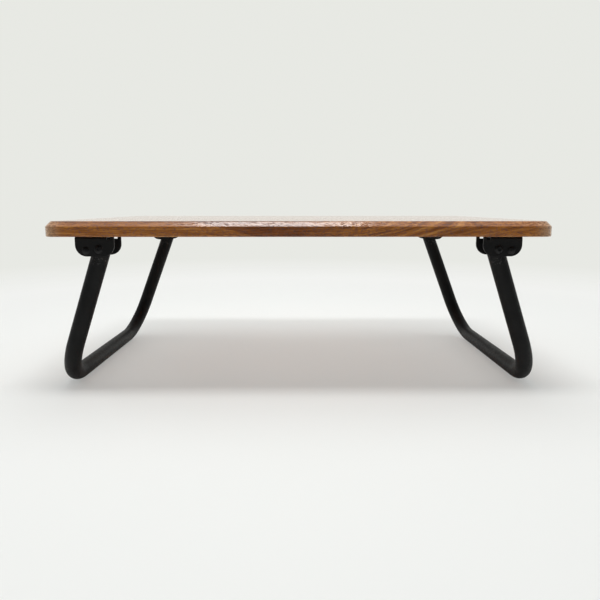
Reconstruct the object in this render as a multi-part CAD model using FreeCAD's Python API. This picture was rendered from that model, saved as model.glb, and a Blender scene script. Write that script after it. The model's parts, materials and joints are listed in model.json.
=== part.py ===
import FreeCAD, Part

import math
import os

from FreeCAD import Placement, Rotation, Vector

# Bed tray table: a wooden board on two folding U-shaped tube legs.
# Millimetres. X runs along the board, Y across it and Z up; the front edge is at -Y.
# The origin is on the floor, under the centre of the board.

# Board
BOARD_LENGTH = 600.0
BOARD_DEPTH = 400.0
BOARD_THICKNESS = 18.0
BOARD_CORNER_RADIUS = 16.0
BOARD_CHAMFER = 6.2
BOARD_ARRIS_RADIUS = 0.8
UNDERSIDE_HEIGHT = 197.0

# Tube legs, each a U that narrows from its pivots to its foot bar
TUBE_DIAMETER = 21.0
TUBE_WALL = 1.2
LEG_SPACING = 357.0
FOOT_SPACING = 327.0
FOOT_BEND_RADIUS = 62.5
SPLAY_ANGLE = 20.0
TUBE_END_RADIUS = 11.6

# Pivot of a leg, from the centre of the board and from its underside
PIVOT_X = 236.5
PIVOT_DROP = 15.0

# Pressed steel channel round a leg's end, from the pivot
SHEET = 1.8
CHANNEL_WIDTH = 28.6
CHANNEL_HEIGHT = 23.4
CHANNEL_INNER_REACH = 18.7
CHANNEL_OUTER_REACH = 27.4
CHEEK_CORNER_RADIUS = 13.4
FOLD_INSIDE_RADIUS = 1.2
EAR_LENGTH = 4.0
RELIEF_LENGTH = 4.6
RELIEF_DEPTH = 3.8

# Pivot bolt with its lock nut and washers
BOLT_DIAMETER = 6.0
BOLT_HEAD_DIAMETER = 10.5
BOLT_HEAD_HEIGHT = 3.0
BOLT_BEYOND_NUT = 1.5
BOLT_TIP_CHAMFER = 0.8
NUT_ACROSS_FLATS = 10.0
NUT_HEX_HEIGHT = 4.6
NUT_COLLAR_HEIGHT = 1.8
NUT_COLLAR_DIAMETER = 8.6
WASHER_DIAMETER = 12.0
WASHER_TO_TUBE = 0.6
RUNNING_CLEARANCE = 0.05

# Stop rivet that the tube leans on when the leg stands open
STOP_BELOW_PIVOT = 6.5
STOP_SHOULDER_DIAMETER = 6.0
STOP_SHANK_DIAMETER = 4.8
STOP_TO_TUBE = 0.2
STOP_HEAD_DIAMETER = 9.5
STOP_HEAD_HEIGHT = 2.4

# Countersunk wood screws through the channel's web, places from the pivot
SCREW_PLACES = (-3.0, 14.5)
SCREW_SHANK_DIAMETER = 4.0
SCREW_LENGTH = 14.0
SCREW_POINT_LENGTH = 4.0
SCREW_CLEARANCE = 0.05
PILOT_BEYOND_SCREW = 1.0

# Workshop values: how far a cutter passes what it cuts, and how level an edge must be
CUTTER_OVERRUN = 1.0
LEVEL_TOLERANCE = 0.01

# Worked out from the sizes above
PIVOT_Z = UNDERSIDE_HEIGHT - PIVOT_DROP
TUBE_RADIUS = TUBE_DIAMETER / 2
SPLAY = math.radians(SPLAY_ANGLE)
UPRIGHT_DROP = (PIVOT_Z - TUBE_RADIUS) / math.cos(SPLAY)
TAPER = math.atan((LEG_SPACING - FOOT_SPACING) / 2 / UPRIGHT_DROP)
BEND_TURN = math.radians(90) - TAPER
CHEEK_INSIDE = CHANNEL_WIDTH / 2 - SHEET
CHANNEL_BOTTOM = PIVOT_DROP - CHANNEL_HEIGHT
WEB_START = EAR_LENGTH + RELIEF_LENGTH - CHANNEL_INNER_REACH
SCREW_HEAD_DIAMETER = SCREW_SHANK_DIAMETER + 2 * SHEET

# The front right corner is modelled about its pivot, with +X outwards.
# The other corners mirror it.
CORNERS = {
    "front_left": (-1, -1),
    "front_right": (1, -1),
    "rear_left": (-1, 1),
    "rear_right": (1, 1),
}


def polyline(points):
    """Straight edges through the points, in order."""
    return [Part.makeLine(a, b) for a, b in zip(points, points[1:])]


def arc(start, middle, end):
    return Part.Arc(start, middle, end).toShape()


def quarter_arc(start, corner, end):
    """Quarter circle from start to end that rounds off the corner point."""
    centre = start + end - corner
    radius = (start - centre).Length
    middle = centre + (corner - centre).normalize() * radius
    return arc(start, middle, end)


def face_of(edges):
    return Part.Face(Part.Wire(edges))


def turned(edges):
    """Solid of revolution about Y of a closed profile in the XY plane."""
    return face_of(edges).revolve(Vector(), Vector(0, 1, 0), 360)


def rod(radius, start, end, x=0.0, z=0.0):
    """Cylinder along Y between two Y values."""
    return Part.makeCylinder(radius, end - start, Vector(x, start, z), Vector(0, 1, 0))


def stop_place():
    """X and Z, from the pivot, of the stop that touches the splayed tube's outer side."""
    beside = TUBE_RADIUS + STOP_TO_TUBE + STOP_SHOULDER_DIAMETER / 2
    x = beside * math.cos(SPLAY) + STOP_BELOW_PIVOT * math.sin(SPLAY)
    z = beside * math.sin(SPLAY) - STOP_BELOW_PIVOT * math.cos(SPLAY)
    return x, z


def make_board():
    """Slab with rounded corners, a wide chamfer round its top and softened arrises."""
    half_length = BOARD_LENGTH / 2
    half_depth = BOARD_DEPTH / 2
    slab = Part.makeBox(BOARD_LENGTH, BOARD_DEPTH, BOARD_THICKNESS,
                        Vector(-half_length, -half_depth, UNDERSIDE_HEIGHT))
    uprights = [edge for edge in slab.Edges if edge.BoundBox.ZLength > LEVEL_TOLERANCE]
    slab = slab.makeFillet(BOARD_CORNER_RADIUS, uprights)
    top = UNDERSIDE_HEIGHT + BOARD_THICKNESS
    slab = slab.makeChamfer(BOARD_CHAMFER, edges_at_height(slab, top))
    arrises = []
    for height in (UNDERSIDE_HEIGHT, top - BOARD_CHAMFER, top):
        arrises += edges_at_height(slab, height)
    slab = slab.makeFillet(BOARD_ARRIS_RADIUS, arrises)
    return slab.cut(Part.makeCompound(pilot_holes()))


def edges_at_height(shape, height):
    """The edges that lie level at the height."""
    level = []
    for edge in shape.Edges:
        box = edge.BoundBox
        if max(abs(box.ZMin - height), abs(box.ZMax - height)) < LEVEL_TOLERANCE:
            level.append(edge)
    return level


def pilot_holes():
    """Holes in the underside that take the screws, a little longer than they are."""
    radius = SCREW_SHANK_DIAMETER / 2 + SCREW_CLEARANCE
    depth = SCREW_LENGTH - SHEET + PILOT_BEYOND_SCREW
    start = UNDERSIDE_HEIGHT - CUTTER_OVERRUN
    holes = []
    for side, end in CORNERS.values():
        for place in SCREW_PLACES:
            foot = Vector(side * (PIVOT_X + place), end * LEG_SPACING / 2, start)
            holes.append(Part.makeCylinder(radius, depth + CUTTER_OVERRUN, foot))
    return holes


def make_cheek():
    """One side wall of the channel: rounded below, with a relief beside the folded web."""
    left = -CHANNEL_INNER_REACH
    right = CHANNEL_OUTER_REACH
    top = PIVOT_DROP
    low = CHANNEL_BOTTOM
    r = CHEEK_CORNER_RADIUS

    def at(x, z):
        return Vector(x, 0, z)

    edges = polyline([at(right, low + r), at(right, top - RELIEF_DEPTH),
                      at(left + EAR_LENGTH, top - RELIEF_DEPTH),
                      at(left + EAR_LENGTH, top),
                      at(left, top), at(left, low + r)])
    edges.append(quarter_arc(at(left, low + r), at(left, low), at(left + r, low)))
    edges += polyline([at(left + r, low), at(right - r, low)])
    edges.append(quarter_arc(at(right - r, low), at(right, low), at(right, low + r)))
    return face_of(edges).extrude(Vector(0, SHEET, 0))


def make_web():
    """The channel's flat top with its two folds, as one pressed section."""
    outside = CHANNEL_WIDTH / 2
    inside = CHEEK_INSIDE
    fold = FOLD_INSIDE_RADIUS + SHEET
    top = PIVOT_DROP
    foot = top - RELIEF_DEPTH

    def at(y, z):
        return Vector(WEB_START, y, z)

    edges = polyline([at(-outside, foot), at(-outside, top - fold)])
    edges.append(quarter_arc(at(-outside, top - fold), at(-outside, top), at(fold - outside, top)))
    edges += polyline([at(fold - outside, top), at(outside - fold, top)])
    edges.append(quarter_arc(at(outside - fold, top), at(outside, top), at(outside, top - fold)))
    edges += polyline([at(outside, top - fold), at(outside, foot),
                       at(inside, foot), at(inside, top - fold)])
    edges.append(quarter_arc(at(inside, top - fold), at(inside, top - SHEET),
                             at(outside - fold, top - SHEET)))
    edges += polyline([at(outside - fold, top - SHEET), at(fold - outside, top - SHEET)])
    edges.append(quarter_arc(at(fold - outside, top - SHEET), at(-inside, top - SHEET),
                             at(-inside, top - fold)))
    edges += polyline([at(-inside, top - fold), at(-inside, foot), at(-outside, foot)])
    return face_of(edges).extrude(Vector(CHANNEL_OUTER_REACH - WEB_START, 0, 0))


def countersink(place):
    """Screw hole and its cone through the web, wide end down."""
    small = SCREW_SHANK_DIAMETER / 2 + SCREW_CLEARANCE
    wide = SCREW_HEAD_DIAMETER / 2 + SCREW_CLEARANCE
    return Part.makeCone(wide, small, SHEET, Vector(place, 0, PIVOT_DROP - SHEET))


def make_channel():
    """Folded channel with its pivot, stop and screw holes."""
    near = make_cheek()
    near.translate(Vector(0, -CHANNEL_WIDTH / 2, 0))
    far = make_cheek()
    far.translate(Vector(0, CHEEK_INSIDE, 0))
    channel = near.fuse([far, make_web()]).removeSplitter()
    stop_x, stop_z = stop_place()
    reach = CHANNEL_WIDTH / 2 + CUTTER_OVERRUN
    holes = [
        rod(BOLT_DIAMETER / 2 + RUNNING_CLEARANCE, -reach, reach),
        rod(STOP_SHANK_DIAMETER / 2 + RUNNING_CLEARANCE, -reach, reach, stop_x, stop_z),
    ]
    holes += [countersink(place) for place in SCREW_PLACES]
    return channel.cut(holes)


def make_bolt():
    """Pivot bolt with a domed head against the outer cheek."""
    seat = -CHANNEL_WIDTH / 2
    crown = seat - BOLT_HEAD_HEIGHT
    rim = BOLT_HEAD_DIAMETER / 2
    r = BOLT_DIAMETER / 2
    tip = -seat + NUT_HEX_HEIGHT + NUT_COLLAR_HEIGHT + BOLT_BEYOND_NUT
    edges = [dome(seat, crown, rim)]
    edges += polyline([Vector(rim, seat, 0), Vector(r, seat, 0),
                       Vector(r, tip - BOLT_TIP_CHAMFER, 0),
                       Vector(r - BOLT_TIP_CHAMFER, tip, 0), Vector(0, tip, 0),
                       Vector(0, crown, 0)])
    return turned(edges)


def dome(seat, crown, rim):
    """Arc of a domed head, from the top of its crown to its rim at the seat."""
    height = abs(seat - crown)
    radius = (rim ** 2 + height ** 2) / (2 * height)
    centre = crown + math.copysign(radius, seat - crown)
    half_turn = math.asin(rim / radius) / 2
    middle = Vector(radius * math.sin(half_turn),
                    centre - math.copysign(radius * math.cos(half_turn), seat - crown), 0)
    return arc(Vector(0, crown, 0), middle, Vector(rim, seat, 0))


def make_nut():
    """Hexagon lock nut with a round collar, on the inner cheek."""
    seat = CHANNEL_WIDTH / 2
    shoulder = seat + NUT_HEX_HEIGHT
    corner = NUT_ACROSS_FLATS / math.sqrt(3)
    ring = [Vector(corner * math.cos(math.radians(60 * k)), seat,
                   corner * math.sin(math.radians(60 * k))) for k in range(7)]
    prism = face_of(polyline(ring)).extrude(Vector(0, NUT_HEX_HEIGHT, 0))
    flat = NUT_ACROSS_FLATS / 2
    bevel = corner - flat
    blank = turned(polyline([
        Vector(0, seat, 0), Vector(flat, seat, 0), Vector(corner, seat + bevel, 0),
        Vector(corner, shoulder - bevel, 0), Vector(flat, shoulder, 0),
        Vector(0, shoulder, 0), Vector(0, seat, 0)]))
    nut = prism.common(blank)
    collar = rod(NUT_COLLAR_DIAMETER / 2, shoulder, shoulder + NUT_COLLAR_HEIGHT)
    nut = nut.fuse(collar).removeSplitter()
    end = shoulder + NUT_COLLAR_HEIGHT
    bore = rod(BOLT_DIAMETER / 2 + RUNNING_CLEARANCE, seat - CUTTER_OVERRUN, end + CUTTER_OVERRUN)
    return nut.cut(bore)


def make_washers():
    """Two nylon washers in the gaps between the leaning tube and the cheeks."""
    near = TUBE_RADIUS + WASHER_TO_TUBE
    bore = BOLT_DIAMETER / 2 + 2 * RUNNING_CLEARANCE
    washers = []
    for start, end in ((-CHEEK_INSIDE, -near), (near, CHEEK_INSIDE)):
        disc = rod(WASHER_DIAMETER / 2, start, end)
        washers.append(disc.cut(rod(bore, start - CUTTER_OVERRUN, end + CUTTER_OVERRUN)))
    return Part.makeCompound(washers)


def make_stop_rivet():
    """Shouldered rivet across the channel, domed at both ends."""
    outside = CHANNEL_WIDTH / 2
    inside = CHEEK_INSIDE
    crown = outside + STOP_HEAD_HEIGHT
    rim = STOP_HEAD_DIAMETER / 2
    shank = STOP_SHANK_DIAMETER / 2
    shoulder = STOP_SHOULDER_DIAMETER / 2
    edges = [dome(-outside, -crown, rim)]
    edges += polyline([Vector(rim, -outside, 0), Vector(shank, -outside, 0),
                       Vector(shank, -inside, 0), Vector(shoulder, -inside, 0),
                       Vector(shoulder, inside, 0), Vector(shank, inside, 0),
                       Vector(shank, outside, 0), Vector(rim, outside, 0)])
    edges.append(dome(outside, crown, rim))
    edges += polyline([Vector(0, crown, 0), Vector(0, -crown, 0)])
    rivet = turned(edges)
    stop_x, stop_z = stop_place()
    rivet.translate(Vector(stop_x, 0, stop_z))
    return rivet


def make_screws():
    """Countersunk screws up through the web into the board."""
    head = SCREW_HEAD_DIAMETER / 2
    shank = SCREW_SHANK_DIAMETER / 2
    profile = polyline([Vector(0, 0, 0), Vector(head, 0, 0), Vector(shank, SHEET, 0),
                        Vector(shank, SCREW_LENGTH - SCREW_POINT_LENGTH, 0),
                        Vector(0, SCREW_LENGTH, 0), Vector(0, 0, 0)])
    screws = []
    for place in SCREW_PLACES:
        screw = turned(profile)
        screw.rotate(Vector(), Vector(1, 0, 0), 90)
        screw.translate(Vector(place, 0, PIVOT_DROP - SHEET))
        screws.append(screw)
    return Part.makeCompound(screws)


def tube_run(start, end):
    """Straight stretch of the leg's tube."""
    way = end - start
    outer = Part.makeCylinder(TUBE_RADIUS, way.Length, start, way)
    return outer.cut(Part.makeCylinder(TUBE_RADIUS - TUBE_WALL, way.Length, start, way))


def tube_bend(end, start, centre):
    """Bend from the floor bar up to one upright, about a centre above its start."""
    outer = Part.Wire(Part.makeCircle(TUBE_RADIUS, start, Vector(0, 1, 0)))
    inner = Part.Wire(Part.makeCircle(TUBE_RADIUS - TUBE_WALL, start, Vector(0, 1, 0)))
    turn = math.degrees(BEND_TURN)
    rings = [Part.Face(wire).revolve(centre, Vector(end, 0, 0), turn) for wire in (outer, inner)]
    return rings[0].cut(rings[1])


def make_bent_tube():
    """U of tube in the YZ plane, with the pivots at Z 0 and the floor bar below."""
    bar = -UPRIGHT_DROP
    bend_y = FOOT_SPACING / 2 - FOOT_BEND_RADIUS * math.tan(BEND_TURN / 2)
    bend_z = bar + FOOT_BEND_RADIUS
    top = TUBE_END_RADIUS + CUTTER_OVERRUN
    tube = tube_run(Vector(0, -bend_y, bar), Vector(0, bend_y, bar))
    pieces = []
    for end in (-1, 1):
        bend_end = Vector(0, end * (bend_y + FOOT_BEND_RADIUS * math.sin(BEND_TURN)),
                          bend_z - FOOT_BEND_RADIUS * math.cos(BEND_TURN))
        above_pivot = Vector(0, end * (LEG_SPACING / 2 + top * math.tan(TAPER)), top)
        pieces.append(tube_bend(end, Vector(0, end * bend_y, bar), Vector(0, end * bend_y, bend_z)))
        pieces.append(tube_run(bend_end, above_pivot))
    return tube.fuse(pieces).removeSplitter()


def make_leg(side):
    """Bent tube with rounded, drilled ends, leaned outwards about its pivot."""
    reach = LEG_SPACING / 2 + TUBE_DIAMETER
    above = Part.makeBox(2 * TUBE_DIAMETER, 2 * reach, 2 * TUBE_END_RADIUS,
                         Vector(-TUBE_DIAMETER, -reach, 0))
    waste = above.cut(rod(TUBE_END_RADIUS, -reach - CUTTER_OVERRUN, reach + CUTTER_OVERRUN))
    hole = rod(BOLT_DIAMETER / 2 + RUNNING_CLEARANCE, -reach, reach)
    leg = make_bent_tube().cut([waste, hole])
    leg.Placement = Placement(Vector(side * PIVOT_X, 0, PIVOT_Z),
                              Rotation(Vector(0, 1, 0), -side * SPLAY_ANGLE))
    return leg


def at_corner(shape, side, end):
    """Copy of a front right corner piece, mirrored and moved to its own corner."""
    placed = shape.copy()
    if side < 0:
        placed = placed.mirror(Vector(), Vector(1, 0, 0))
    if end > 0:
        placed = placed.mirror(Vector(), Vector(0, 1, 0))
    placed.translate(Vector(side * PIVOT_X, end * LEG_SPACING / 2, PIVOT_Z))
    return placed


def build_nodes():
    nodes = {
        "tabletop": make_board(),
        "left_leg": make_leg(-1),
        "right_leg": make_leg(1),
    }
    fittings = {
        "channel": make_channel(),
        "pivot_bolt": make_bolt(),
        "lock_nut": make_nut(),
        "nylon_washers": make_washers(),
        "stop_rivet": make_stop_rivet(),
        "wood_screws": make_screws(),
    }
    for corner, (side, end) in CORNERS.items():
        for name, shape in fittings.items():
            nodes[corner + "_" + name] = at_corner(shape, side, end)
    return nodes


def main():
    os.makedirs("parts", exist_ok=True)
    for name, shape in build_nodes().items():
        shape.exportStep("parts/" + name + ".step")
        print(name, shape.ShapeType, len(shape.Solids), round(shape.Volume, 1), shape.isValid())


main()
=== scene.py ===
# %% [markdown]
# # Bed tray table
#
# A wooden board stands on two bent steel legs that fold under it. The solids come
# from the CAD model and stay as they are. What is left to do here is the finish of
# every piece, the drive recesses and threads of its fasteners, the nylon rings in its
# nuts, and a plain pale studio. Sizes are in metres: X runs along the board, the front
# edge is at -Y, Z is up.

# %% Load the frame
import json
import math

import bmesh
import bpy
from mathutils import Matrix, Vector


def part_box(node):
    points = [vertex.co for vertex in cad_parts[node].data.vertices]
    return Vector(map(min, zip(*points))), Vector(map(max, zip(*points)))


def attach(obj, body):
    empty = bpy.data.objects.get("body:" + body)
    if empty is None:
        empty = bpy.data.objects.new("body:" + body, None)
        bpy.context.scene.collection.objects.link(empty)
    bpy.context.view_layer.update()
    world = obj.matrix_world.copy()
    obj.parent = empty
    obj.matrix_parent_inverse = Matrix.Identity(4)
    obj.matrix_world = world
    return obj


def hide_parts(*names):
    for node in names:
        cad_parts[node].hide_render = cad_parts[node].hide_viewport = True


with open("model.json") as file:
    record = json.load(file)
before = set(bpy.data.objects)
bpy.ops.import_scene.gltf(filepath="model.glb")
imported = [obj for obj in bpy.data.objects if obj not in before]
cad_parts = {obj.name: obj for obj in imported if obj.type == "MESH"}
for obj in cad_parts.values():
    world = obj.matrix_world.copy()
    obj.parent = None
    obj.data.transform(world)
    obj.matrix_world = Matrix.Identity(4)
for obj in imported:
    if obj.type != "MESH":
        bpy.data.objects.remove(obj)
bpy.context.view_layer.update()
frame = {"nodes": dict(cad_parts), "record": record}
nodes = frame["nodes"]
print(f"{len(nodes)} CAD nodes")

# %% [markdown]
# ## Small helpers for shader trees
#
# A procedural finish is a chain of small nodes. It could be wired by hand in the shader
# editor, but in a script one helper that makes a node, sets its properties and fills
# its inputs keeps each chain short enough to read as a sentence.

# %% Helpers for nodes and numbers
# Most values of a noise lie between these
NOISE_RANGE = (0.3, 0.7)


def add(tree, kind, inputs=None, **properties):
    """Adds a shader node; an input is a value or another node's output socket."""
    node = tree.nodes.new("ShaderNode" + kind)
    for name, value in properties.items():
        setattr(node, name, value)
    for socket, value in (inputs or {}).items():
        if isinstance(value, bpy.types.NodeSocket):
            tree.links.new(value, node.inputs[socket])
        else:
            node.inputs[socket].default_value = value
    return node


def calc(tree, operation, *values):
    """Output of a Math node."""
    return add(tree, "Math", dict(enumerate(values)), operation=operation).outputs[0]


def total(tree, first, *others):
    """Sum of two or more values."""
    for other in others:
        first = calc(tree, "ADD", first, other)
    return first


def product(tree, first, *others):
    """Product of two or more values."""
    for other in others:
        first = calc(tree, "MULTIPLY", first, other)
    return first


def remap(tree, value, low, high, to_low=0.0, to_high=1.0):
    """Smooth step from to_low at low to to_high at high."""
    limits = {"Value": value, "From Min": low, "From Max": high,
              "To Min": to_low, "To Max": to_high}
    node = add(tree, "MapRange", limits, interpolation_type="SMOOTHSTEP")
    return node.outputs["Result"]


def noise(tree, place, scale, detail=2.0, roughness=0.5):
    """Value of a three-dimensional noise, about 0.5 on average."""
    inputs = {"Vector": place, "Scale": scale, "Detail": detail, "Roughness": roughness}
    return add(tree, "TexNoise", inputs).outputs["Fac"]


def stretched(tree, place, factors):
    """Coordinates multiplied axis by axis."""
    node = add(tree, "VectorMath", {0: place, 1: factors}, operation="MULTIPLY")
    return node.outputs["Vector"]


def place_of(tree):
    """Coordinates of the point in metres, fixed to the table."""
    return add(tree, "TexCoord").outputs["Object"]


print("node helpers ready")

# %% [markdown]
# ## Helpers for colours and finishes
#
# Every finish here is one Principled shader. It could be filled from nodes alone, but
# what is the same all over a piece is typed straight into its sockets by finish, and only
# what varies is worked out by nodes and linked by plug. So each tree holds no more than
# what changes over the surface.

# %% Helpers for colours and finishes
def ramp(tree, factor, stops, interpolation="LINEAR"):
    """Colour ramp from (position, colour) stops."""
    node = add(tree, "ValToRGB", {"Fac": factor})
    colours = node.color_ramp
    colours.interpolation = interpolation
    while len(colours.elements) < len(stops):
        colours.elements.new(1.0)
    for element, (position, colour) in zip(colours.elements, stops):
        element.position = position
        element.color = (*colour, 1.0)
    return node.outputs["Color"]


def blended(tree, factor, first, second, mode="MIX"):
    """Mix of two colours."""
    node = add(tree, "Mix", data_type="RGBA", blend_type=mode)
    for label, value in (("Factor_Float", factor), ("A_Color", first), ("B_Color", second)):
        socket = next(s for s in node.inputs if s.identifier == label)
        if isinstance(value, bpy.types.NodeSocket):
            tree.links.new(value, socket)
        else:
            socket.default_value = (*value, 1.0) if isinstance(value, tuple) else value
    return next(s for s in node.outputs if s.identifier == "Result_Color")


def stained(tree, share, colour, tint):
    """The colour, multiplied by a tint where the share is 1."""
    return blended(tree, share, colour, blended(tree, 1.0, colour, tint, "MULTIPLY"))


def finish(name, **values):
    """New material with the given values on its Principled shader."""
    material = bpy.data.materials.new(name)
    material.use_nodes = True
    shader = material.node_tree.nodes["Principled BSDF"]
    for socket, value in values.items():
        shader.inputs[socket.replace("_", " ")].default_value = value
    return material, material.node_tree, shader


def plug(tree, shader, **outputs):
    """Links output sockets to the shader's inputs."""
    for socket, output in outputs.items():
        tree.links.new(output, shader.inputs[socket.replace("_", " ")])


print("colour helpers ready")

# %% [markdown]
# ## Effects that several finishes share
#
# The metal and the nylon all have a fine grain. The black steel also wears thin at its
# edges, and the coated pieces gather a little dust on what faces up. Each effect could
# be copied into every material, but a node group is built once and takes its own values
# in each of them.
#
# - Grain is noise used as height, so it changes the normal and leaves the mesh alone.
# - Edge wear compares the true normal with a rounded one: they differ only at edges.
# - Dust gathers where the normal points up, in soft patches.

# %% Shared shader groups
# How well the rounded normal matches the true one where wear starts, and where it is full
WEAR_STARTS, WEAR_FULL = 0.995, 0.86
WEAR_PATCHES, WEAR_PATCH_LEVELS = 260.0, (0.42, 0.62)
# How far up a surface faces where dust starts to settle, and where it is full
DUST_STARTS, DUST_FULL = 0.2, 0.95
DUST_PATCHES, DUST_PATCH_LEVELS = 70.0, (0.35, 0.75)


def new_group(name, inputs, output_kind, output_name):
    """Node group with number inputs and one output, and its input and output nodes."""
    group = bpy.data.node_groups.new(name, "ShaderNodeTree")
    for label, value in inputs.items():
        socket = group.interface.new_socket(label, in_out="INPUT", socket_type="NodeSocketFloat")
        socket.default_value = value
    group.interface.new_socket(output_name, in_out="OUTPUT", socket_type=output_kind)
    return group, group.nodes.new("NodeGroupInput"), group.nodes.new("NodeGroupOutput")


def build_grain():
    group, given, result = new_group("fine grain", {"Scale": 900.0, "Height": 0.0001},
                                     "NodeSocketVector", "Normal")
    height = noise(group, place_of(group), given.outputs["Scale"], detail=3.0)
    bump = add(group, "Bump", {"Height": height, "Distance": given.outputs["Height"]})
    group.links.new(bump.outputs["Normal"], result.inputs["Normal"])
    return group


def build_edge_wear():
    group, given, result = new_group("edge wear", {"Width": 0.001, "Amount": 0.5},
                                     "NodeSocketFloat", "Mask")
    rounded = add(group, "Bevel", {"Radius": given.outputs["Width"]}, samples=6)
    true = add(group, "NewGeometry").outputs["Normal"]
    match = add(group, "VectorMath", {0: rounded.outputs["Normal"], 1: true},
                operation="DOT_PRODUCT").outputs["Value"]
    edge = remap(group, match, WEAR_STARTS, WEAR_FULL)
    cloud = noise(group, place_of(group), WEAR_PATCHES, detail=4.0)
    patches = remap(group, cloud, *WEAR_PATCH_LEVELS)
    mask = product(group, edge, patches, given.outputs["Amount"])
    group.links.new(mask, result.inputs["Mask"])
    return group


def build_dust():
    group, given, result = new_group("dust", {"Amount": 0.1}, "NodeSocketFloat", "Mask")
    normal = add(group, "NewGeometry").outputs["Normal"]
    up = add(group, "SeparateXYZ", {0: normal}).outputs["Z"]
    settled = remap(group, up, DUST_STARTS, DUST_FULL)
    cloud = noise(group, place_of(group), DUST_PATCHES, detail=5.0, roughness=0.65)
    patches = remap(group, cloud, *DUST_PATCH_LEVELS)
    mask = product(group, settled, patches, given.outputs["Amount"])
    group.links.new(mask, result.inputs["Mask"])
    return group


grain_group = build_grain()
edge_wear_group = build_edge_wear()
dust_group = build_dust()


def use_group(tree, group, **values):
    """Output of a shared group placed in a material with its own values."""
    node = add(tree, "Group", node_tree=group)
    for label, value in values.items():
        node.inputs[label].default_value = value
    return node.outputs[0]


print("shared groups:", [g.name for g in (grain_group, edge_wear_group, dust_group)])

# %% [markdown]
# ## Where a point lies in the board
#
# The board is glued up from six staves, and each was cut from its own place in a log.
# A flat texture would slide over the edges, but wood is solid all through, so its figure
# is worked out from the point's own X, Y and Z. The grain then runs on from the top
# over the chamfer and down the edge, and the ends of the board show end grain.

# %% Staves and the place in the log
BOARD_LOW, BOARD_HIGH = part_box("tabletop")
STAVE_WIDTH = 0.07
STAVES_START = -0.21
# For each stave from the front: lightness, slope of the grain, and where across it the
# centre of the log lies
STAVES = [(0.50, 1.00, 0.42), (0.62, 0.35, 0.75), (0.38, 0.60, 0.20),
          (0.56, 0.25, 0.60), (0.44, 0.70, 0.30), (0.58, 0.45, 0.85)]
# Towards the right end the grain rises through the board, by this much at full slope
GRAIN_LIFT = 0.050
LIFT_FROM_X, LIFT_TO_X = 0.03, 0.27
# How far along the log a stave is moved for its lightness, so that no two are alike
LOG_SHIFT = 7.0


def stave_places(tree):
    """X, Y and Z, the place across the stave, and the stave's three values."""
    place = place_of(tree)
    x, y, z = add(tree, "SeparateXYZ", {0: place}).outputs
    across = calc(tree, "DIVIDE", calc(tree, "SUBTRACT", y, STAVES_START), STAVE_WIDTH)
    share = calc(tree, "DIVIDE", across, len(STAVES))
    stops = [(i / len(STAVES), values) for i, values in enumerate(STAVES)]
    chosen = ramp(tree, share, stops, interpolation="CONSTANT")
    stave = add(tree, "SeparateColor", {0: chosen}).outputs
    return (x, y, z), calc(tree, "FRACT", across), stave


def log_place(tree, xyz, across, stave):
    """The point's coordinates in its log, with the grain rising towards one end."""
    x, _, z = xyz
    lightness, slope, centre = stave
    lift = product(tree, remap(tree, x, LIFT_FROM_X, LIFT_TO_X, 0.0, GRAIN_LIFT), slope)
    height = calc(tree, "SUBTRACT", calc(tree, "SUBTRACT", z, BOARD_LOW.z), lift)
    side = product(tree, calc(tree, "SUBTRACT", across, centre), STAVE_WIDTH)
    start = total(tree, x, product(tree, lightness, LOG_SHIFT))
    return add(tree, "CombineXYZ", {"X": start, "Y": side, "Z": height}).outputs[0]


print(f"board {BOARD_LOW.z:.3f} to {BOARD_HIGH.z:.3f} m, {len(STAVES)} staves")

# %% [markdown]
# ## Rings, fibres and pores
#
# Wood has three scales of figure. Growth rings are bands round the centre of the log,
# a few millimetres apart. Fibres are long thin streaks. Pores are short dark dashes
# that the oil doesn't fill. A wave texture would make even rings, but real ones are
# uneven, so here the distance from the log's centre drives a one-dimensional noise.
# Fibres and pores are noises squeezed across the grain.

# %% Rings, fibres and pores
LOG_CENTRE_DEPTH = 0.045
RINGS_PER_METRE = 290.0
RING_WOBBLE = 0.03
# Features per metre along the grain, across it and through the board
WOBBLE_SCALE = (3.0, 14.0, 14.0)
FIBRE_SCALE = (50.0, 400.0, 400.0)
PORE_SCALE = (280.0, 680.0, 680.0)
PORE_BAND_SCALE = (8.0, 120.0, 120.0)
# A dash above the level is a pore; the level falls in the bands that have many
PORE_LEVELS = (0.58, 0.48)
PORE_RIM = 0.05


def growth_rings(tree, log):
    """Uneven bands round the centre of the log, about 0.5 on average."""
    wobble = noise(tree, stretched(tree, log, WOBBLE_SCALE), 1.0, detail=3.0)
    _, y, z = add(tree, "SeparateXYZ", {0: log}).outputs
    below = total(tree, z, LOG_CENTRE_DEPTH)
    radius = calc(tree, "SQRT", total(tree, product(tree, y, y), product(tree, below, below)))
    rings = product(tree, total(tree, radius, product(tree, wobble, RING_WOBBLE)), RINGS_PER_METRE)
    inputs = {"W": rings, "Scale": 1.0, "Detail": 2.5, "Roughness": 0.6}
    return add(tree, "TexNoise", inputs, noise_dimensions="1D").outputs["Fac"]


def fibres(tree, log):
    """Thin streaks along the grain, about 0.5 on average."""
    return noise(tree, stretched(tree, log, FIBRE_SCALE), 1.0, detail=4.0, roughness=0.7)


def pores(tree, log):
    """1 in a pore and 0 beside it."""
    dashes = noise(tree, stretched(tree, log, PORE_SCALE), 1.0, detail=1.0)
    bands = noise(tree, stretched(tree, log, PORE_BAND_SCALE), 1.0, detail=2.0)
    level = remap(tree, bands, *NOISE_RANGE, *PORE_LEVELS)
    return remap(tree, calc(tree, "SUBTRACT", dashes, level), 0.0, PORE_RIM)


print("three scales of wood figure")

# %% [markdown]
# ## The dark heart in the front stave
#
# The middle of the front edge is darker than its ends. There the saw met the heartwood,
# and its border crosses the edge on a slant, sharp on the left and faded on the right.
# Paint on the face would end at the chamfer, so the border is a sloping plane through
# the wood, which the chamfer and the underside cut as the face does. A little way in
# from the front the heartwood ends, and its border there sways with the grain.

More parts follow.
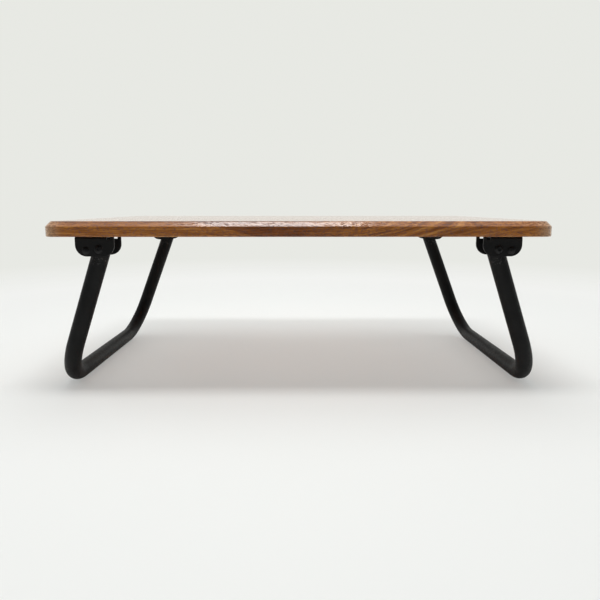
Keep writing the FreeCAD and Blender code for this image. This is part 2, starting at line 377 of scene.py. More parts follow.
# %% Heartwood mask
# X and Z of the border's two ends on the front face
HEART_EDGE_TOP = Vector((-0.100, BOARD_LOW.z + 0.0126))
HEART_EDGE_FOOT = Vector((-0.059, BOARD_LOW.z + 0.0021))
# Distances past that line where the dark starts and where it is full
HEART_BORDER = (0.0014, 0.0030)
# X where it fades out to the right, and Y where it fades out inwards
HEART_FADE = (-0.02, 0.085)
HEART_DEPTH = (-0.176, -0.148)
HEART_SWAY, HEART_SWAY_SCALE = 0.004, (9.0, 60.0, 90.0)
HEART_SWAY_INWARDS = 3.0


def heartwood(tree, xyz, log):
    """1 in the heartwood, which lies behind a slanting plane and fades to 0."""
    x, y, z = xyz
    along = HEART_EDGE_FOOT - HEART_EDGE_TOP
    square = Vector((-along.y, along.x)).normalized()
    sway = product(tree, noise(tree, stretched(tree, log, HEART_SWAY_SCALE), 1.0), HEART_SWAY)
    past_line = total(tree, product(tree, calc(tree, "SUBTRACT", x, HEART_EDGE_TOP.x), square.x),
                      product(tree, calc(tree, "SUBTRACT", z, HEART_EDGE_TOP.y), square.y), sway)
    inside = remap(tree, past_line, *HEART_BORDER)
    to_right = remap(tree, x, *HEART_FADE, 1.0, 0.0)
    depth = total(tree, y, product(tree, sway, HEART_SWAY_INWARDS))
    inwards = remap(tree, depth, *HEART_DEPTH, 1.0, 0.0)
    return product(tree, inside, to_right, inwards)


print(f"heartwood from X {HEART_EDGE_TOP.x:.3f} to {HEART_FADE[1]} m")

# %% [markdown]
# ## Corners painted pale
#
# The rounded corners at the ends catch light from the sides and mirror the backdrop
# along their surface, and that pale sheen is painted into the wood's colour here. A
# single pale colour would look like plastic, so the corners get a second scale of
# tones, driven by the same rings and fibres as the rest.

# %% Painted sheen on the corners
# Tones of the painted sheen, which stands in for the light on the rounded corners
CORNER_SHEEN_TONES = [(0.0, (0.40, 0.235, 0.125)), (0.5, (0.62, 0.42, 0.27)), (1.0, (0.76, 0.58, 0.42))]
CORNER_SHEEN_X = (0.272, BOARD_HIGH.x)
CORNER_SHEEN_Y = (0.155, BOARD_HIGH.y - 0.012)
CORNER_SHEEN_MOST = 0.85


def painted_corner_sheen(tree, xyz):
    """Painted pale sheen, which rises to its most at the four rounded corners."""
    x, y, _ = xyz
    along = remap(tree, calc(tree, "ABSOLUTE", x), *CORNER_SHEEN_X, 0.0, CORNER_SHEEN_MOST)
    out = remap(tree, calc(tree, "ABSOLUTE", y), *CORNER_SHEEN_Y)
    return product(tree, along, out)


print(f"painted corner sheen from X {CORNER_SHEEN_X[0]} and Y {CORNER_SHEEN_Y[0]} m")

# %% [markdown]
# ## Oiled wood
#
# The finish is a thin satin oil: the fibres stay open to the touch, the flat wood gives
# a soft glare, and the pores break that glare into specks. The figure above gives the
# colour, and the same pores raise the roughness and sink the surface a little. Oil alone
# would leave the top brown when it is seen along its surface, but the real one mirrors
# the room there, so a very thin clear film lies over it, which shows only at such angles.
#
# The edges are sanded round. Their normals are softened, which takes the glare off a
# narrow line above the chamfer without any change to the mesh.

# %% Oiled wood
WOOD_TONES = [(0.00, (0.130, 0.036, 0.006)), (0.30, (0.270, 0.088, 0.016)),
              (0.55, (0.430, 0.155, 0.030)), (0.80, (0.570, 0.240, 0.056)),
              (1.00, (0.680, 0.340, 0.100))]
# What rings, fibres and the stave's own lightness add to the tone, and where it starts
RING_SHARE, FIBRE_SHARE, LIGHTNESS_SHARE = 1.05, 1.15, 0.50
TONE_START = -0.84
HEART_TINT = (0.56, 0.46, 0.46)
PORE_TINT = (0.58, 0.50, 0.46)
GLUE_LINE, GLUE_SHARE = 0.004, 0.55
OIL_ROUGHNESS, FIBRE_ROUGHNESS, PORE_ROUGHNESS = 0.14, 0.16, 0.40
RELIEF, RELIEF_STRENGTH, FIBRE_RELIEF = 0.00008, 0.8, 0.35
SOFT_EDGE = 0.0026


def wood_colour(tree, xyz, across, lightness, log, fibre, pore):
    """Colour of the figure, the heart, the painted corner sheen, the pores and the glue lines."""
    tone = total(tree, product(tree, growth_rings(tree, log), RING_SHARE),
                 product(tree, fibre, FIBRE_SHARE), TONE_START,
                 product(tree, lightness, LIGHTNESS_SHARE))
    colour = ramp(tree, tone, WOOD_TONES)
    colour = stained(tree, heartwood(tree, xyz, log), colour, HEART_TINT)
    colour = blended(tree, painted_corner_sheen(tree, xyz), colour, ramp(tree, tone, CORNER_SHEEN_TONES))
    colour = stained(tree, pore, colour, PORE_TINT)
    from_joint = calc(tree, "MINIMUM", across, calc(tree, "SUBTRACT", 1.0, across))
    joint = remap(tree, from_joint, 0.0, GLUE_LINE, GLUE_SHARE, 0.0)
    return stained(tree, joint, colour, PORE_TINT)


def wood_normal(tree, fibre, pore):
    """Normal of fibres that stand up and pores that sink, over softened edges."""
    height = calc(tree, "SUBTRACT", product(tree, fibre, FIBRE_RELIEF), pore)
    soft_edge = add(tree, "Bevel", {"Radius": SOFT_EDGE}, samples=8).outputs["Normal"]
    bump = add(tree, "Bump", {"Height": height, "Distance": RELIEF, "Strength": RELIEF_STRENGTH,
                              "Normal": soft_edge})
    return bump.outputs["Normal"]


def oiled_wood():
    material, tree, shader = finish("oiled wood", IOR=1.56, Coat_Weight=0.9, Coat_IOR=1.12,
                                    Coat_Roughness=0.06)
    xyz, across, stave = stave_places(tree)
    log = log_place(tree, xyz, across, stave)
    fibre = fibres(tree, log)
    pore = pores(tree, log)
    rough = total(tree, product(tree, pore, PORE_ROUGHNESS),
                  product(tree, fibre, FIBRE_ROUGHNESS), OIL_ROUGHNESS)
    plug(tree, shader, Base_Color=wood_colour(tree, xyz, across, stave[0], log, fibre, pore),
         Roughness=rough, Normal=wood_normal(tree, fibre, pore))
    return material


wood = oiled_wood()
print("wood nodes:", len(wood.node_tree.nodes))

# %% [markdown]
# ## Black powder coat
#
# The tubes and the channels are powder coated: a powder of plastic is baked on to the
# steel and flows into a satin skin with a faint orange peel. One black shader would look
# cut out of paper, so the peel breaks the highlights, the edges wear a little lighter,
# and dust dulls what faces up. Both pieces take the same coat, each with its own amounts.

# %% Powder coat
COAT_TONES = [(0.35, (0.0055, 0.0055, 0.0057)), (0.65, (0.0090, 0.0090, 0.0093))]
COAT_CLOUDS, PEEL_CLOUDS = 45.0, 300.0
# Paler grey of edge wear, which the tubes' painted highlights take as well
WEAR_AND_HIGHLIGHT_GREY = (0.085, 0.083, 0.080)
DUST_GREY = (0.170, 0.165, 0.155)
COAT_EDGE = 0.0006
PEEL_HEIGHT = 0.00012
ROUGHNESS_SPREAD = 0.14


def coat_colour(tree, wear, dust):
    """Black, greyer at edge wear, painted highlights and dust, over a slow cloud of its own."""
    base = ramp(tree, noise(tree, place_of(tree), COAT_CLOUDS, detail=3.0), COAT_TONES)
    worn_and_highlit = blended(tree, wear, base, WEAR_AND_HIGHLIGHT_GREY)
    return blended(tree, dust, worn_and_highlit, DUST_GREY)


def powder_coat(name, ior, edges, dust, smoothest, grain, painted_highlights=None):
    """Black coat; the last argument is a function that adds a mask of painted highlights."""
    material, tree, shader = finish(name, IOR=ior)
    wear = use_group(tree, edge_wear_group, Width=COAT_EDGE, Amount=edges)
    # On the tubes the painted highlights join the edge wear and take its paler grey
    if painted_highlights:
        wear = calc(tree, "MAXIMUM", wear, painted_highlights(tree))
    settled = use_group(tree, dust_group, Amount=dust)
    peel = noise(tree, place_of(tree), PEEL_CLOUDS, detail=3.0)
    rough = remap(tree, peel, *NOISE_RANGE, smoothest, smoothest + ROUGHNESS_SPREAD)
    plug(tree, shader, Base_Color=coat_colour(tree, wear, settled), Roughness=rough,
         Normal=use_group(tree, grain_group, Scale=grain, Height=PEEL_HEIGHT))
    return material


sheet_coat = powder_coat("black coated sheet", ior=1.3, edges=0.55, dust=0.06,
                         smoothest=0.40, grain=1100.0)
print(sheet_coat.name)

# %% [markdown]
# ## Painted highlights on the tubes
#
# Just below each channel, and on one foot bend, the tube catches small highlights, and
# these are painted into the coat as paler specks. Such highlights are specks, not a stripe.
# So noise is cut off at a level, and it shows only in a band of heights under the channels
# and in a ball round the spot on the foot bend.

# %% Tube coat with its painted highlights
# Band of painted highlights just below the channels, and a painted highlight on the front left
# foot bend
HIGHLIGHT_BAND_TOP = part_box("front_left_channel")[0].z - 0.002
HIGHLIGHT_BAND_BOTTOM = HIGHLIGHT_BAND_TOP - 0.010
HIGHLIGHT_FADE_ABOVE, HIGHLIGHT_FADE_BELOW = 0.002, 0.005
FOOT_BEND_HIGHLIGHT = (-0.2900, -0.1500, 0.0330)
BEND_HIGHLIGHT_RADII = (0.004, 0.014)
HIGHLIGHT_SPECKS, SPECK_LEVELS = 420.0, (0.54, 0.66)


def painted_highlight_specks(tree):
    """Painted highlights: specks in a band under the channels, and a spot on one foot bend."""
    place = place_of(tree)
    z = add(tree, "SeparateXYZ", {0: place}).outputs["Z"]
    band = product(tree, remap(tree, z, HIGHLIGHT_BAND_BOTTOM, HIGHLIGHT_BAND_BOTTOM + HIGHLIGHT_FADE_BELOW),
                   remap(tree, z, HIGHLIGHT_BAND_TOP, HIGHLIGHT_BAND_TOP + HIGHLIGHT_FADE_ABOVE, 1.0, 0.0))
    cloud = noise(tree, place, HIGHLIGHT_SPECKS, detail=4.0, roughness=0.7)
    specks = remap(tree, cloud, *SPECK_LEVELS)
    distance = add(tree, "VectorMath", {0: place, 1: FOOT_BEND_HIGHLIGHT}, operation="DISTANCE")
    bend_highlight = remap(tree, distance.outputs["Value"], *BEND_HIGHLIGHT_RADII, 1.0, 0.0)
    return product(tree, calc(tree, "MAXIMUM", band, bend_highlight), specks)


tube_coat = powder_coat("black coated tube", ior=1.25, edges=0.6, dust=0.04,
                        smoothest=0.42, grain=1000.0, painted_highlights=painted_highlight_specks)
print(tube_coat.name)

# %% [markdown]
# ## Fasteners, nylon and screws
#
# The pivot bolts, lock nuts and rivets are steel under a black oxide. The film is dark
# and hardly metallic, and it turns grey where an edge rubs it thin. The washers are
# moulded nylon, duller and without wear. The wood screws are zinc plated, a plain bright
# metal with a cloudy film. Colour and roughness could each have a noise of their own, but
# on all of these the paler spots are also the duller ones, so one cloud drives both.

# %% Black oxide, nylon and zinc
WORN_OXIDE = (0.14, 0.14, 0.135)


def black_oxide():
    material, tree, shader = finish("black oxide steel", Metallic=0.1, IOR=1.3)
    wear = use_group(tree, edge_wear_group, Width=0.0005, Amount=0.5)
    cloud = noise(tree, place_of(tree), 500.0, detail=3.0)
    base = ramp(tree, cloud, [(0.35, (0.010, 0.010, 0.011)), (0.7, (0.020, 0.020, 0.020))])
    plug(tree, shader, Base_Color=blended(tree, wear, base, WORN_OXIDE),
         Roughness=remap(tree, cloud, *NOISE_RANGE, 0.46, 0.60),
         Normal=use_group(tree, grain_group, Scale=1800.0, Height=0.00005))
    return material


def moulded_nylon():
    material, tree, shader = finish("black nylon", IOR=1.53)
    cloud = noise(tree, place_of(tree), 600.0, detail=2.0)
    base = ramp(tree, cloud, [(0.3, (0.020, 0.020, 0.021)), (0.7, (0.032, 0.032, 0.033))])
    plug(tree, shader, Base_Color=base,
         Roughness=remap(tree, cloud, *NOISE_RANGE, 0.55, 0.68),
         Normal=use_group(tree, grain_group, Scale=2200.0, Height=0.00004))
    return material


def zinc_plate():
    material, tree, shader = finish("zinc plated steel", Metallic=1.0)
    cloud = noise(tree, place_of(tree), 450.0, detail=4.0)
    base = ramp(tree, cloud, [(0.3, (0.40, 0.41, 0.42)), (0.7, (0.56, 0.56, 0.54))])
    plug(tree, shader, Base_Color=base,
         Roughness=remap(tree, cloud, *NOISE_RANGE, 0.28, 0.42),
         Normal=use_group(tree, grain_group, Scale=1500.0, Height=0.00003))
    return material


oxide = black_oxide()
nylon = moulded_nylon()
zinc = zinc_plate()
print([m.name for m in (oxide, nylon, zinc)])

# %% [markdown]
# ## Give every CAD node its finish
#
# The record names a material slot for each node, so the finish could be picked node by
# node, but a table from slot to finish follows the record and can't miss one.

# %% Finishes by material slot
FINISHES = {
    "oiled_wood": wood,
    "black_coated_tube": tube_coat,
    "black_coated_sheet": sheet_coat,
    "blackened_fastener": oxide,
    "black_nylon": nylon,
    "screw_steel": zinc,
}
slot_of = {part["node"]: part["material_slot"] for part in frame["record"]["subparts"]}
for name, node in nodes.items():
    node.data.materials.clear()
    node.data.materials.append(FINISHES[slot_of[name]])
print({slot: list(slot_of.values()).count(slot) for slot in FINISHES})

# %% [markdown]
# ## Turned pieces with helical threads and drive recesses
#
# A bolt is a stack of rings along its axis. A lathe profile could give its head and
# shank, but not the hexagon socket or the thread, which change round the axis as well.
# So each ring is a loop of points whose radius may depend on the angle: a circle for
# the shank, a hexagon or a cross for the drive, and a helix for the thread.

# %% Loops and their outlines
LOOP_POINTS = 48
SLICES_PER_TURN = 8
# Steepness of a thread's flanks, and the offset that leaves it a flat root and crest
TOOTH_SLOPE, TOOTH_ROOT = 2.6, 0.15
NEARLY_ZERO = 1e-9


def loop(height, radius):
    """Ring of points round Z; the radius is a number or a function of the angle."""
    points = []
    for k in range(LOOP_POINTS):
        angle = 2 * math.pi * k / LOOP_POINTS
        r = radius(angle) if callable(radius) else radius
        points.append((r * math.cos(angle), r * math.sin(angle), height))
    return points


def hexagon(across_flats):
    """Radius function of a hexagon."""
    def radius(angle):
        from_flat = (angle + math.pi / 6) % (math.pi / 3) - math.pi / 6
        return across_flats / 2 / math.cos(from_flat)
    return radius


def cross(length, width):
    """Radius function of an equal-armed cross."""
    def radius(angle):
        c = abs(math.cos(angle)) + NEARLY_ZERO
        s = abs(math.sin(angle)) + NEARLY_ZERO
        return max(min(length / 2 / c, width / 2 / s), min(length / 2 / s, width / 2 / c))
    return radius


def thread(height, pitch, crest, root, limit):
    """Radius function of one slice through a right-hand thread, never over the limit."""
    def radius(angle):
        phase = (height / pitch - angle / (2 * math.pi)) % 1.0
        tooth = min(1.0, max(0.0, TOOTH_SLOPE * abs(phase - 0.5) - TOOTH_ROOT))
        return min(limit, root + (crest - root) * tooth)
    return radius


def slice_heights(start, end, pitch):
    """Heights of the slices through a thread, after its start and up to its end."""
    steps = round((end - start) / (pitch / SLICES_PER_TURN))
    return [start + step * (end - start) / steps for step in range(1, steps + 1)]


print(f"loops of {LOOP_POINTS} points")

# %% [markdown]
# ## A skin over the loops
#
# Neighbouring loops have equally many points, so the skin between them is a belt of
# four-sided faces. A turned piece gets a cap at each end, and a ring joins its last loop
# to its first instead. Shading every edge smooth would blur the hexagon, and shading all
# of them flat would show the 48 sides, so the angle at each edge decides.

# %% Skin and mesh object
SMOOTH_BELOW = math.radians(35)


def skinned(bm, loops, place, capped=True):
    """Skin over the loops, moved to its place; it has end caps or is closed on itself."""
    rings = [[bm.verts.new(place @ Vector(p)) for p in ring] for ring in loops]
    following = rings[1:] if capped else rings[1:] + rings[:1]
    for lower, upper in zip(rings, following):
        for k in range(LOOP_POINTS):
            n = (k + 1) % LOOP_POINTS
            bm.faces.new((lower[k], lower[n], upper[n], upper[k]))
    if capped:
        bm.faces.new(reversed(rings[0]))
        bm.faces.new(rings[-1])


def piece_from(bm, name, material):
    """Mesh object that rides on the board, with shallow edges smooth and steep ones sharp."""
    bmesh.ops.recalc_face_normals(bm, faces=bm.faces)
    for face in bm.faces:
        face.smooth = True
    for edge in bm.edges:
        edge.smooth = edge.calc_face_angle(0.0) < SMOOTH_BELOW
    mesh = bpy.data.meshes.new(name)
    bm.to_mesh(mesh)
    bm.free()
    mesh.materials.append(material)
    piece = bpy.data.objects.new(name, mesh)
    bpy.context.scene.collection.objects.link(piece)
    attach(piece, "board")
    return piece


def inwards_from(point):
    """Place whose Z axis points from a corner of the table towards its middle, along Y."""
    turn = -90 if point.y < 0 else 90
    return Matrix.Translation(point) @ Matrix.Rotation(math.radians(turn), 4, "X")


print(f"edges under {math.degrees(SMOOTH_BELOW):.0f} degrees are smooth")

# %% [markdown]
# ## Pivot bolts
#
# Each pivot is an M6 bolt with a low domed head outside the channel. A smooth solid
# stands for it in the CAD model. This piece takes its place and has what a key and a
# nut need: a hexagon socket sunk in the dome and a thread on the end that shows past
# the nut. Both could be cut with booleans, but one stack of loops, from the bottom of
# the socket to the tip, gives a clean skin. The thread is cut into the same 6 mm shank,
# so nothing grows.

# %% Pivot bolts
HEAD_RADIUS, HEAD_HEIGHT = 0.00525, 0.0030
SHANK_RADIUS = 0.0030
BOLT_LOW, BOLT_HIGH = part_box("front_left_pivot_bolt")
BOLT_LENGTH = BOLT_HIGH.y - BOLT_LOW.y
SOCKET_WIDTH, SOCKET_DEPTH, SOCKET_LIP = 0.0040, 0.0019, 0.0002
# Rings of the dome, as shares of the way from its first radius to its rim
DOME_START = 0.0026
DOME_SHARES = (0.0, 0.25, 0.5, 0.75, 0.9, 1.0)
THREAD_PITCH, THREAD_ROOT = 0.0010, 0.00245
THREADED_LENGTH = 0.0090
TIP_CHAMFER = 0.0008


def dome_height(radius):
    """How far below its crown the domed head is at this radius."""
    sphere = (HEAD_RADIUS ** 2 + HEAD_HEIGHT ** 2) / (2 * HEAD_HEIGHT)
    return sphere - math.sqrt(sphere ** 2 - radius ** 2)


def bolt_loops():
    """From the bottom of the socket over the dome and along the shank to the tip."""
    loops = [loop(SOCKET_DEPTH, hexagon(SOCKET_WIDTH)),
             loop(dome_height(SOCKET_WIDTH / 2) + SOCKET_LIP, hexagon(SOCKET_WIDTH))]
    for share in DOME_SHARES:
        radius = DOME_START + share * (HEAD_RADIUS - DOME_START)
        loops.append(loop(dome_height(radius), radius))
    start = BOLT_LENGTH - THREADED_LENGTH
    loops += [loop(HEAD_HEIGHT, SHANK_RADIUS), loop(start, SHANK_RADIUS)]
    for height in slice_heights(start, BOLT_LENGTH, THREAD_PITCH):
        limit = min(SHANK_RADIUS, SHANK_RADIUS - TIP_CHAMFER + BOLT_LENGTH - height)
        loops.append(loop(height, thread(height, THREAD_PITCH, SHANK_RADIUS, THREAD_ROOT, limit)))
    return loops


def crown_of(corner):
    """Top of the bolt's head, which is its outermost point in Y."""
    low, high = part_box(corner + "_pivot_bolt")
    middle = (low + high) / 2
    return Vector((middle.x, low.y if middle.y < 0 else high.y, middle.z))


corners = [name[:-len("_pivot_bolt")] for name in sorted(nodes) if name.endswith("_pivot_bolt")]
for corner in corners:
    bm = bmesh.new()
    skinned(bm, bolt_loops(), inwards_from(crown_of(corner)))
    bolt = piece_from(bm, corner + "_socket_bolt", oxide)
    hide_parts(corner + "_pivot_bolt")
print("pivot bolts at", corners)

# %% [markdown]
# ## Wood screws
#
# Two countersunk screws hold each channel to the board. From below one sees only their
# flat heads, flush in the sheet, with a cross recess for the driver. A disc with a cross
# would do for that view, but the shank and its coarse thread belong to the screw, so they
# are made too, down to the point, from the same kind of loops as the bolts.

# %% Wood screws
SCREW_HEAD_RADIUS, SCREW_HEAD_HEIGHT, SCREW_RIM = 0.0038, 0.0018, 0.0001
SCREW_RADIUS, SCREW_ROOT = 0.0020, 0.0014
SCREW_LENGTH, SCREW_POINT = 0.014, 0.004
SCREW_PITCH = 0.0018
RECESS_LENGTH, RECESS_WIDTH, RECESS_DEPTH = 0.0046, 0.0012, 0.0014
# The bottom of the recess is shorter and narrower than its mouth
RECESS_END_LENGTH, RECESS_END_WIDTH = RECESS_LENGTH * 0.35, RECESS_WIDTH * 0.6


def screw_loops():
    """From the bottom of the recess over the head and along the thread to the point."""
    loops = [loop(RECESS_DEPTH, cross(RECESS_END_LENGTH, RECESS_END_WIDTH)),
             loop(0.0, cross(RECESS_LENGTH, RECESS_WIDTH)),
             loop(0.0, SCREW_HEAD_RADIUS - SCREW_RIM),
             loop(SCREW_RIM, SCREW_HEAD_RADIUS - SCREW_RIM),
             loop(SCREW_HEAD_HEIGHT, SCREW_RADIUS)]
    for height in slice_heights(SCREW_HEAD_HEIGHT, SCREW_LENGTH, SCREW_PITCH)[:-1]:
        taper = min(1.0, (SCREW_LENGTH - height) / SCREW_POINT)
        crest, root = SCREW_RADIUS * taper, SCREW_ROOT * taper
        loops.append(loop(height, thread(height, SCREW_PITCH, crest, root, SCREW_RADIUS)))
    return loops


for corner in corners:
    low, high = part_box(corner + "_wood_screws")
    bm = bmesh.new()
    for x in (low.x + SCREW_HEAD_RADIUS, high.x - SCREW_HEAD_RADIUS):
        foot = Vector((x, (low.y + high.y) / 2, low.z))
        skinned(bm, screw_loops(), Matrix.Translation(foot))
    screws = piece_from(bm, corner + "_cross_screws", zinc)
    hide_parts(corner + "_wood_screws")
print(f"{2 * len(corners)} wood screws")

# %% [markdown]
# ## Nylon inserts of the lock nuts
#
# A lock nut grips its bolt with a nylon ring in its collar, which shows as a narrow band
# between the collar and the thread. It could be a colour on the nut, but it is another
# material in the real one, so it is a ring of its own on the collar's end.

# %% Lock nut inserts
INSERT_OUTER, INSERT_INNER, INSERT_HEIGHT = 0.0038, 0.00306, 0.00012
INSERT_ROUNDING = 0.0001


def insert_loops():
    """The four corners of the ring's section."""
    return [loop(0.0, INSERT_OUTER), loop(INSERT_HEIGHT, INSERT_OUTER - INSERT_ROUNDING),
            loop(INSERT_HEIGHT, INSERT_INNER), loop(0.0, INSERT_INNER)]


def collar_end_of(corner):
    """Middle of the nut's end face, which is its innermost in Y."""
    low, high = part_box(corner + "_lock_nut")
    middle = (low + high) / 2
    return Vector((middle.x, high.y if middle.y < 0 else low.y, middle.z))


for corner in corners:
    bm = bmesh.new()
    skinned(bm, insert_loops(), inwards_from(collar_end_of(corner)), capped=False)
    piece_from(bm, corner + "_nut_insert", nylon)
print(f"{len(corners)} nut inserts")

# %% [markdown]
# ## Floor and backdrop
#
# A product studio uses one sheet that lies on the floor and curves up behind the object,
# so no line shows where they meet. A flat plane and a wall would leave such a line.

# %% Studio sheet
SHEET_HALF_WIDTH = 5.0
SHEET_FRONT, SHEET_BACK = -5.0, 4.2
SWEEP_RADIUS, SWEEP_STEPS = 1.6, 24
SHEET_TOP = 2.4


def sheet_profile():
    """Y and Z from the front of the floor, round the sweep and up the backdrop."""
    points = [(SHEET_FRONT, 0.0)]
    for step in range(SWEEP_STEPS + 1):
        angle = math.pi / 2 * step / SWEEP_STEPS
        points.append((SHEET_BACK - SWEEP_RADIUS + SWEEP_RADIUS * math.sin(angle),
                       SWEEP_RADIUS - SWEEP_RADIUS * math.cos(angle)))
    return points + [(SHEET_BACK, SHEET_TOP)]


def studio_sheet():
    bm = bmesh.new()
    rows = [[bm.verts.new((x, y, z)) for x in (-SHEET_HALF_WIDTH, SHEET_HALF_WIDTH)]
            for y, z in sheet_profile()]
    for near, far in zip(rows, rows[1:]):
        bm.faces.new((near[0], near[1], far[1], far[0])).smooth = True
    mesh = bpy.data.meshes.new("studio_sheet")
    bm.to_mesh(mesh)
    bm.free()
    sheet = bpy.data.objects.new("studio_sheet", mesh)
    bpy.context.scene.collection.objects.link(sheet)
    return sheet


floor = studio_sheet()
print(f"sheet {2 * SHEET_HALF_WIDTH:.0f} m wide")

# %% [markdown]
# ## Paper of the sheet
#
# Near the table the paper is lit by the lamps and holds the shadow, but a share of a pale
# glow of its own already shows there, which lightens the shadow as painted light. Further
# off, a studio would need more lamps to keep it pale, and they would wash out the table.
# So there the paper turns by degrees into that pale tone of its own, which the camera and
# mirroring surfaces see, and which sheds no other light. The tone is brightest about a
# metre off, where it is painted light that carries on the lamps' pool on the floor. Only
# the far part of the sheet is mirrored that pale, because the near part would put a grey
# veil on the black steel. Seen from below, the sheet would hide the table, so its
# underside is clear to the camera.

# %% Sheet paper
FLOOR_COLOUR = (0.830, 0.845, 0.827, 1.0)
PAPER_WHITE = (0.805, 0.815, 0.775)
PAPER_NEAR = (0.808, 0.816, 0.800)
PAPER_LIT = (0.880, 0.885, 0.865)
# The pale tones by distance, as shares of the reach; the PAPER_LIT ring is painted light
PAPER_TONES = [(0.00, PAPER_NEAR), (0.12, PAPER_NEAR), (0.33, PAPER_LIT), (0.58, PAPER_WHITE)]
PAPER_REACH = 3.0
# Distances between which the pale tone's share of the paper grows, and the two shares;
# the near one lightens the shadow as painted light
PALE_DISTANCES, PALE_SHARES = (0.45, 1.3), (0.38, 1.0)
# Y between which the mirrored part of the sheet begins
MIRRORED_Y = (-0.4, 0.6)


def sheet_paper():
    material, tree, shader = finish("studio paper", Base_Color=FLOOR_COLOUR, Roughness=0.85,
                                    Specular_IOR_Level=0.2)
    rays = add(tree, "LightPath").outputs
    place = place_of(tree)
    y = add(tree, "SeparateXYZ", {0: place}).outputs["Y"]
    mirrored = product(tree, rays["Is Glossy Ray"], remap(tree, y, *MIRRORED_Y))
    seen = calc(tree, "MAXIMUM", rays["Is Camera Ray"],
                calc(tree, "MAXIMUM", mirrored, rays["Is Transmission Ray"]))
    away = add(tree, "VectorMath", {0: place}, operation="LENGTH").outputs["Value"]
    share = product(tree, remap(tree, away, *PALE_DISTANCES, *PALE_SHARES), seen)
    tone = ramp(tree, calc(tree, "DIVIDE", away, PAPER_REACH), PAPER_TONES)
    pale = add(tree, "Emission", {"Color": tone, "Strength": 1.0}).outputs[0]
    # The glowing pale share lightens the lit paper and its shadow as painted light
    lit = add(tree, "MixShader", {0: share, 1: shader.outputs[0], 2: pale}).outputs[0]
    below = add(tree, "NewGeometry").outputs["Backfacing"]
    hidden = product(tree, rays["Is Camera Ray"], below)
    clear = add(tree, "BsdfTransparent").outputs[0]
    mixed = add(tree, "MixShader", {0: hidden, 1: lit, 2: clear}).outputs[0]
    tree.links.new(mixed, tree.nodes["Material Output"].inputs["Surface"])
    return material


floor.data.materials.append(sheet_paper())
print("floor finish:", floor.data.materials[0].name)

# %% [markdown]
# ## Lamps
#
# One big lamp above would light the table, but its shadow and its glare could not be set
# apart. So each soft box has one task.
#
# - The front one hangs above the front edge, where the chamfer, which faces halfway up,
#   mirrors it as a white glare. The wide one just above gives a fainter glare to the ends.
# - The rear one lights the top and the floor, and sets how deep the shadow is.
# - The low ones, behind and at the sides, shine under the board, so the floor behind the
#   table is the brightest and the shadow has soft edges.
#
# Only the first two are mirrored. The others would show as hard shapes in the coat.

# %% Soft boxes
FRONT_TOP_BOX = {"place": (-0.06, -0.35, 1.32), "size": (0.52, 0.26), "power": 7.6}
WIDE_TOP_BOX = {"place": (-0.10, -0.35, 1.36), "size": (2.20, 0.35), "power": 3.4}
REAR_TOP_BOX = {"place": (0.0, 0.30, 1.34), "size": (0.80, 0.90), "power": 4.6}
LOW_BACK_BOX = {"place": (0.0, 2.00, 0.45), "size": (3.60, 0.80), "power": 37.0, "tilt": 90.0}
SIDE_BOX = {"size": (1.60, 1.00), "power": 12.0, "tilt": 90.0}
SIDE_BOX_X, SIDE_BOX_Y, SIDE_BOX_Z = 1.8, 0.35, 0.55


def soft_box(name, place, size, power, tilt=0.0, turn=0.0, mirrored=False):
    """Lamp that shines down; tilt swings it towards the front, and turn swings it round Z."""
    lamp = bpy.data.lights.new(name, "AREA")
    lamp.shape = "RECTANGLE"
    lamp.size, lamp.size_y = size
    lamp.energy = power
    holder = bpy.data.objects.new(name, lamp)
    holder.location = place
    holder.rotation_euler = (math.radians(-tilt), 0, math.radians(turn))
    holder.visible_camera = False
    holder.visible_glossy = mirrored
    bpy.context.scene.collection.objects.link(holder)


soft_box("front_top_box", mirrored=True, **FRONT_TOP_BOX)
soft_box("wide_top_box", mirrored=True, **WIDE_TOP_BOX)
soft_box("rear_top_box", **REAR_TOP_BOX)
soft_box("low_back_box", **LOW_BACK_BOX)
for side, name in ((-1, "left"), (1, "right")):
    side_place = (side * SIDE_BOX_X, SIDE_BOX_Y, SIDE_BOX_Z)
    soft_box(name + "_side_box", side_place, turn=-90 * side, **SIDE_BOX)
print("three soft boxes above, one low behind and one low on each side")

# %% [markdown]
# ## The room
#
# Light from all round fills what the lamps leave dark. An even white room would grey the
# black steel, so the room is white behind the table and nearly dark on the camera's side,
# which keeps the front faces of the wood rich. The camera sees pale paper instead of it.

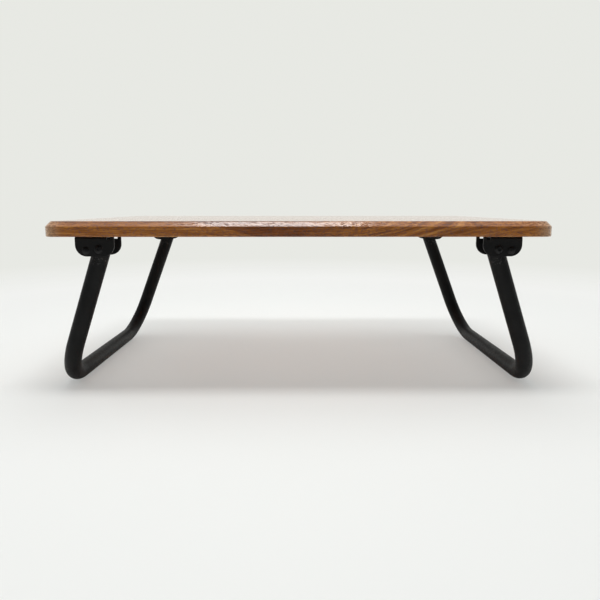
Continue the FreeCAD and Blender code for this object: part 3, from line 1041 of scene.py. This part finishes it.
# %% Room light
ROOM_WHITE = (1.0, 1.0, 0.985, 1.0)
ROOM_FRONT, ROOM_BEHIND = 0.02, 0.60
# Y of the direction between which the room turns from dark to white
ROOM_TURN = (-0.5, 0.5)


def room_light():
    """Light from all round, weaker on the camera's side, and pale paper to the camera."""
    world = bpy.data.worlds.new("white room")
    world.use_nodes = True
    tree = world.node_tree
    room = tree.nodes["Background"]
    room.inputs["Color"].default_value = ROOM_WHITE
    direction = add(tree, "TexCoord").outputs["Generated"]
    y = add(tree, "SeparateXYZ", {0: direction}).outputs["Y"]
    tree.links.new(remap(tree, y, *ROOM_TURN, ROOM_FRONT, ROOM_BEHIND), room.inputs["Strength"])
    paper = add(tree, "Background", {"Color": (*PAPER_WHITE, 1.0), "Strength": 1.0})
    camera_ray = add(tree, "LightPath").outputs["Is Camera Ray"]
    mixed = add(tree, "MixShader", {0: camera_ray, 1: room.outputs[0], 2: paper.outputs[0]})
    tree.links.new(mixed.outputs[0], tree.nodes["World Output"].inputs["Surface"])
    bpy.context.scene.world = world


room_light()
print(f"room from {ROOM_FRONT} in front to {ROOM_BEHIND} behind")

# %% [markdown]
# ## Camera
#
# The camera stands close, at the height of the board, with a lens of normal width. It
# could be set by eye, but a small error there shifts every outline. So its place and lens
# were worked out from the outlines of the board and the legs in the photograph.

# %% Camera
CAMERA_PLACE = (-0.0024, -0.8620, 0.2317)
CAMERA_PITCH_DOWN = 9.36
CAMERA_YAW = 0.30
CAMERA_LENS, CAMERA_SENSOR = 33.95, 36.0
NEAREST_SEEN = 0.02

camera_data = bpy.data.cameras.new("camera")
camera_data.lens = CAMERA_LENS
camera_data.sensor_width = CAMERA_SENSOR
camera_data.clip_start = NEAREST_SEEN
camera = bpy.data.objects.new("camera", camera_data)
camera.location = CAMERA_PLACE
camera.rotation_euler = (math.radians(90 - CAMERA_PITCH_DOWN), 0, math.radians(-CAMERA_YAW))
bpy.context.scene.collection.objects.link(camera)
bpy.context.scene.camera = camera
bpy.context.scene.view_settings.view_transform = "Standard"
print("camera at", CAMERA_PLACE)
